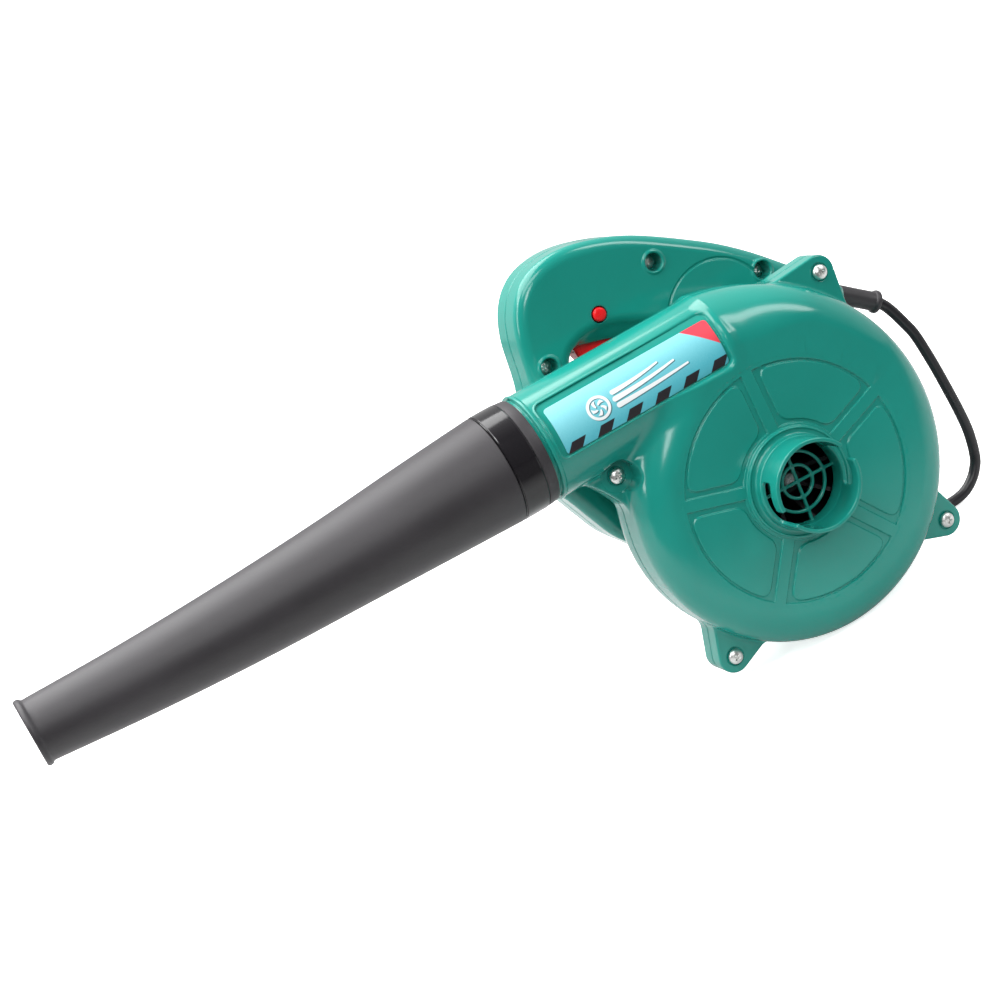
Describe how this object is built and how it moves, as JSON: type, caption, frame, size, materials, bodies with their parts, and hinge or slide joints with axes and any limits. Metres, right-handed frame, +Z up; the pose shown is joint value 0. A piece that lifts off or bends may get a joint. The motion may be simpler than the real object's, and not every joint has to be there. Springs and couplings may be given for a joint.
{
  "type": "leaf blower",
  "caption": "Corded hand-held leaf blower with a round fan volute, tapered nozzle, closed loop handle, trigger and trailing lead.",
  "frame": {"origin": "on the surface the machine stands on, below the middle of the machine's own bounding box, its lead left out", "axes": "+X from the nozzle's mouth towards the fan and the lead's exit, -Y the way the intake faces, +Z up"},
  "size_m": [0.5261, 0.265, 0.2368],
  "materials": {
    "green_plastic": "green moulded plastic with a soft gloss and a very fine texture",
    "black_rubber": "matte dark grey soft plastic with faint mould streaks",
    "black_gloss": "glossy black moulded band",
    "red_plastic": "glossy red plastic",
    "label": "printed turquoise film with plain shapes and no words",
    "zinc": "zinc plated screws and fittings",
    "steel": "ground steel",
    "lamination": "varnished steel laminations",
    "copper": "enamelled copper wire",
    "brass": "plain brass",
    "carbon": "matte carbon block",
    "fan_plastic": "black glass-filled plastic",
    "switch_plastic": "plain black plastic",
    "cord_pvc": "black flexible cord jacket",
    "capacitor_yellow": "yellow moulded capacitor"
  },
  "bodies": {
    "housing": {"front_volute": "green_plastic", "rear_volute": "green_plastic", "label_plate": "label", "volute_screw_1": "zinc", "volute_screw_2": "zinc", "volute_screw_3": "zinc", "volute_screw_4": "zinc", "volute_back_screw_1": "zinc", "volute_back_screw_2": "zinc", "volute_back_screw_3": "zinc", "front_bearing_outer": "steel", "rear_bearing_outer": "steel", "stator_core": "lamination", "field_coil_upper": "copper", "field_coil_lower": "copper", "carbon_brush_left": "carbon", "carbon_brush_right": "carbon", "brush_holder_left": "brass", "brush_holder_right": "brass", "handle_front_shell": "green_plastic", "handle_rear_shell": "green_plastic", "handle_screw_1": "zinc", "handle_screw_2": "zinc", "handle_screw_3": "zinc", "handle_screw_4": "zinc", "handle_screw_5": "zinc", "trigger_pin": "steel", "switch_body": "switch_plastic", "capacitor": "capacitor_yellow", "strain_relief": "black_rubber", "cord_clamp": "switch_plastic", "clamp_screw_1": "zinc", "clamp_screw_2": "zinc", "power_cord": "cord_pvc", "cord_coil": "cord_pvc", "plug_body": "cord_pvc", "plug_pin_front": "zinc", "plug_pin_back": "zinc"},
    "rotor": {"impeller": "fan_plastic", "impeller_washer": "zinc", "impeller_nut": "zinc", "motor_shaft": "steel", "armature_core": "lamination", "armature_winding_front": "copper", "armature_winding_rear": "copper", "commutator": "brass", "front_bearing_inner": "steel", "rear_bearing_inner": "steel"},
    "trigger": {"trigger": "red_plastic"},
    "lock_button": {"lock_button": "red_plastic"},
    "nozzle": {"nozzle_cone": "black_rubber", "nozzle_cuff": "black_gloss"}
  },
  "joints": [
    {"name": "fan_spin", "type": "hinge", "parent": "housing", "child": "rotor", "pos_m": [0.1313, -0.0328, 0.08583], "axis": [0, 1, 0], "continuous": true},
    {"name": "trigger_pull", "type": "hinge", "parent": "housing", "child": "trigger", "pos_m": [0.1213, 0.0152, 0.18683], "axis": [0, 1, 0], "range_deg": [0, 6], "stiffness_Nm_per_rad": 1.5, "springref_deg": -6.88},
    {"name": "lock_button_press", "type": "slide", "parent": "housing", "child": "lock_button", "axis": [0, 1, 0], "range_m": [0, 0.003], "stiffness_N_per_m": 800, "springref_m": -0.004},
    {"name": "nozzle_pull_off", "type": "slide", "parent": "housing", "child": "nozzle", "axis": [-1, 0, 0], "range_m": [0, 0.02]}
  ]
}
